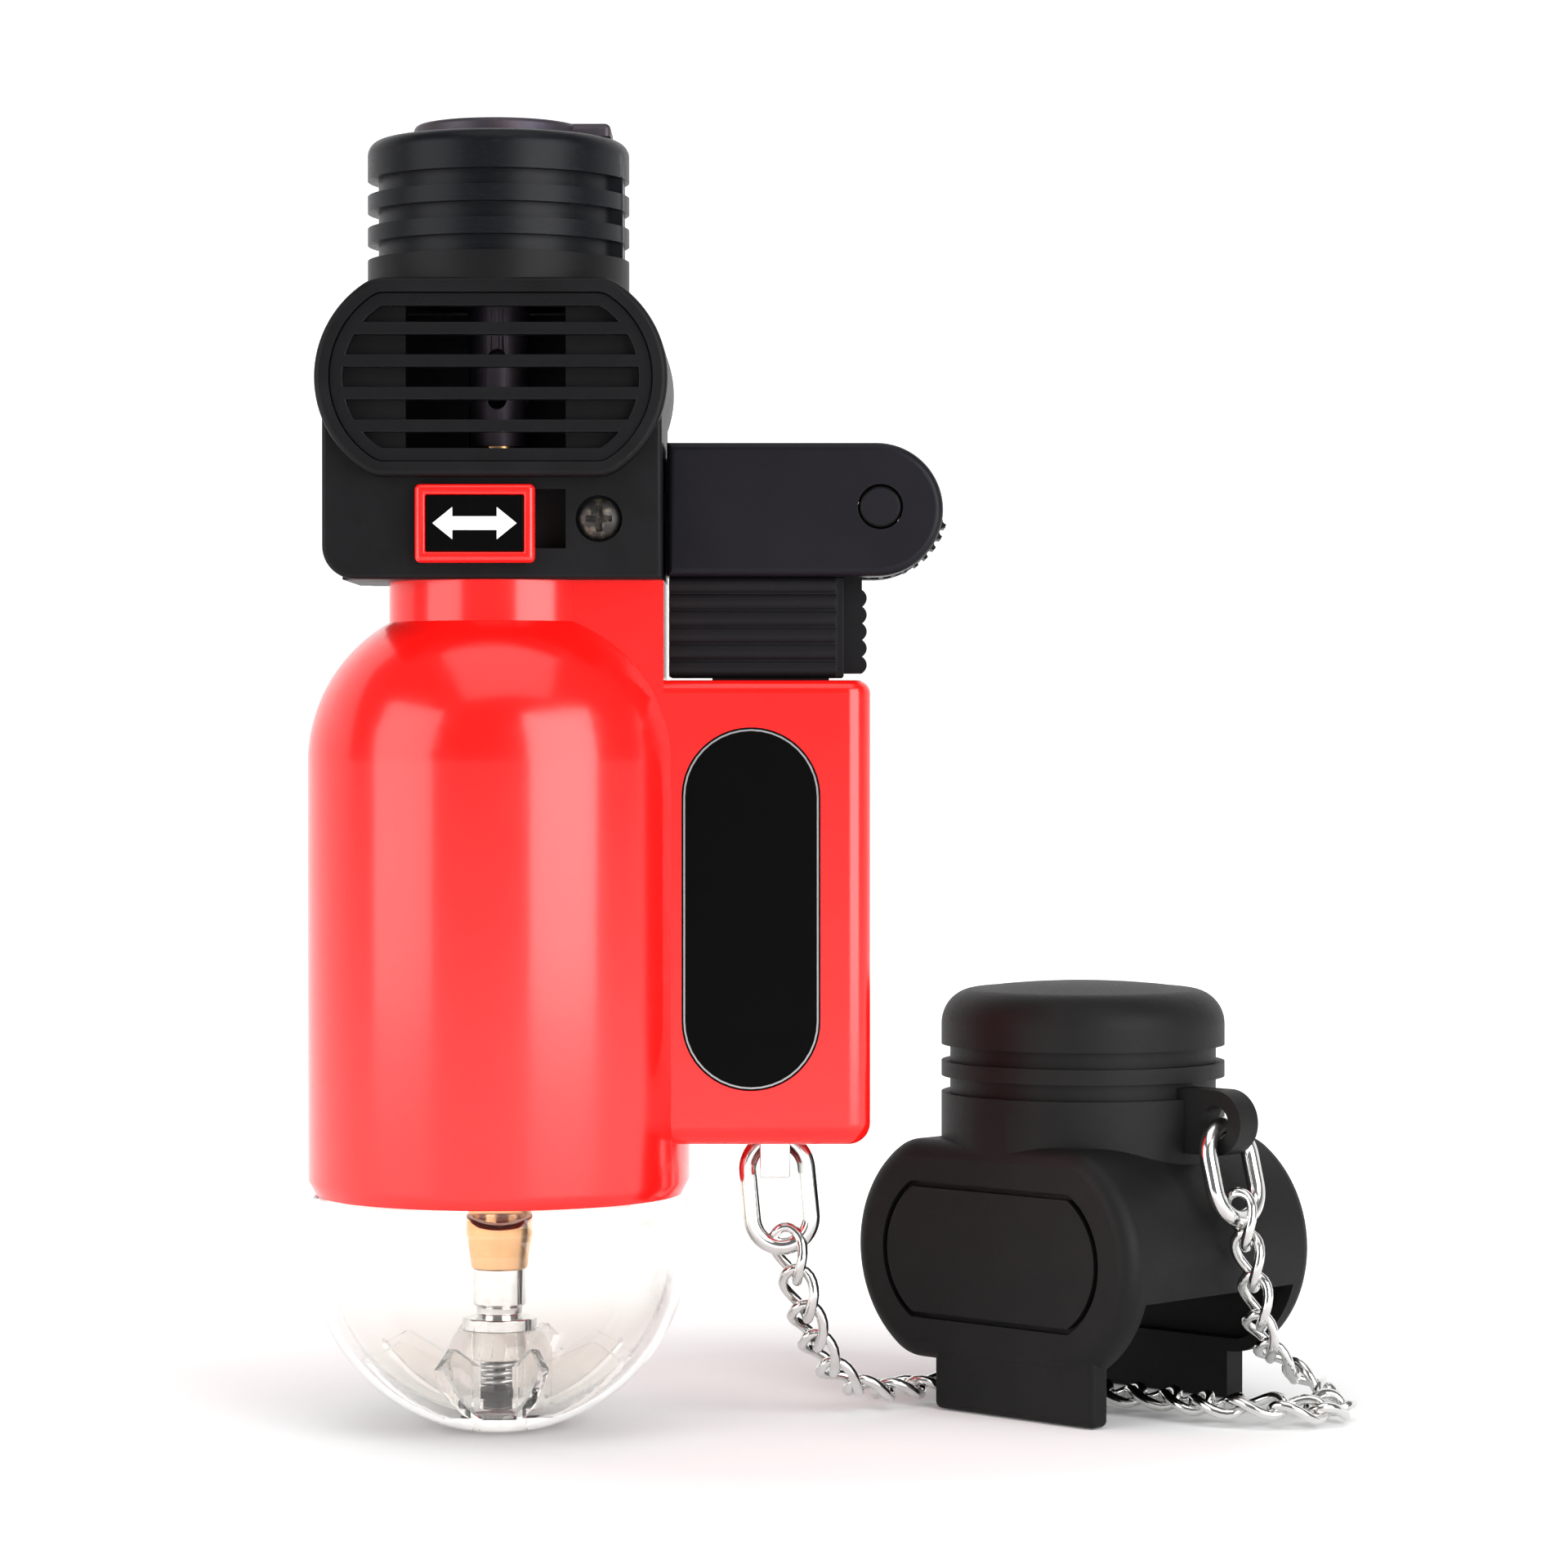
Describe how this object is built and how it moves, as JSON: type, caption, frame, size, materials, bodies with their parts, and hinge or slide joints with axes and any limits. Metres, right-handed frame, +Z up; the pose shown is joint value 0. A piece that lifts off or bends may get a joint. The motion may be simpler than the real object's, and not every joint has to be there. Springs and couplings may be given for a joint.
{
  "type": "butane torch",
  "caption": "Pocket butane torch with a clear fuel dome, red body with a squeeze handle, vented burner head, thumb lever with a safety catch, and a rubber burner cap on a chain.",
  "frame": {"origin": "centre of the fuel dome's foot, on the surface that the torch stands on, under the tank's axis", "axes": "+Z up along the tank's axis to the burner mouth; +X from the tank to the handle; -Y towards the lock slider's side"},
  "size_m": [0.0876, 0.0489, 0.108],
  "materials": {
    "clear_plastic": "clear moulded polycarbonate",
    "red_plastic": "gloss moulded",
    "black_plastic": "semi-gloss moulded",
    "soft_black_plastic": "fine matte grain",
    "dark_metal": "dark oxidised satin",
    "guard_black": "black enamel, semi-gloss",
    "plated_steel": "nickel plated",
    "spring_steel": "drawn wire",
    "brass": "turned",
    "label_foil": "satin black, thin silver rim",
    "rubber": "matte moulded",
    "ceramic": "unglazed",
    "lead_sheath": "smooth sheath",
    "slider_print": "black plate with a white double arrow"
  },
  "bodies": {
    "torch": {"fuel_tank": "clear_plastic", "filler_valve": "plated_steel", "filler_cup": "brass", "filler_spring": "spring_steel", "tank_lid": "clear_plastic", "gas_valve": "brass", "body_shell": "red_plastic", "label_plate": "label_foil", "head_shell": "black_plastic", "front_grille": "dark_metal", "rear_grille": "dark_metal", "flame_guard": "guard_black", "burner_carrier": "soft_black_plastic", "gas_nozzle": "brass", "burner_tube": "dark_metal", "flame_plate": "dark_metal", "burner_collar": "dark_metal", "insulator": "ceramic", "electrode": "spring_steel", "ignition_lead": "lead_sheath", "head_screw": "dark_metal", "gas_lever_pin": "spring_steel", "piezo_igniter": "soft_black_plastic", "return_spring": "spring_steel", "chain_staple": "plated_steel", "staple_ring": "plated_steel", "cap_chain": "plated_steel"},
    "lever": {"thumb_lever": "black_plastic", "lever_plunger": "soft_black_plastic", "lever_pin": "black_plastic", "piezo_rod": "soft_black_plastic"},
    "catch": {"safety_catch": "black_plastic", "catch_spring": "spring_steel"},
    "slider": {"lock_slider": "red_plastic", "slider_plate": "slider_print"},
    "gas_lever": {"gas_lever": "dark_metal"},
    "valve_stem": {"valve_stem": "brass"},
    "adjuster": {"flame_adjuster": "black_plastic"},
    "filler_stem": {"filler_stem": "black_plastic"},
    "cap": {"cap": "rubber", "cap_ring": "plated_steel"}
  },
  "joints": [
    {"name": "lever_press", "type": "slide", "parent": "torch", "child": "lever", "axis": [0, 0, -1], "range_m": [0, 0.004], "stiffness_N_per_m": 1500, "springref_m": -0.002, "deforming": ["return_spring"]},
    {"name": "catch_squeeze", "type": "hinge", "parent": "lever", "child": "catch", "pos_m": [0.0316, 0, 0.07625], "axis": [0, -1, 0], "range_deg": [0, 12], "stiffness_Nm_per_rad": 0.02, "springref_deg": -11.46},
    {"name": "lock_slide", "type": "slide", "parent": "torch", "child": "slider", "axis": [1, 0, 0], "range_m": [0, 0.0024]},
    {"name": "gas_lever_tilt", "type": "hinge", "parent": "torch", "child": "gas_lever", "pos_m": [0.003, 0, 0.0717], "axis": [0, 1, 0], "range_deg": [0, 9.1]},
    {"name": "valve_lift", "type": "slide", "parent": "torch", "child": "valve_stem", "axis": [0, 0, 1], "range_m": [0, 0.00081]},
    {"name": "flame_adjust", "type": "hinge", "parent": "torch", "child": "adjuster", "pos_m": [0, 0, 0.0683], "axis": [0, 0, 1], "range_deg": [-25, 25]},
    {"name": "filler_press", "type": "slide", "parent": "torch", "child": "filler_stem", "axis": [0, 0, 1], "range_m": [0, 0.0012], "stiffness_N_per_m": 400, "springref_m": -0.001, "deforming": ["filler_spring"]},
    {"name": "cap_shift", "type": "slide", "parent": "torch", "child": "cap", "axis": [1, 0, 0], "range_m": [0, 0.008], "deforming": ["cap_chain"]}
  ],
  "couplings": [
    {"joint": "gas_lever_tilt", "follows": "lever_press", "rad_per_m": 39.27},
    {"joint": "valve_lift", "follows": "lever_press", "ratio": 0.2}
  ]
}
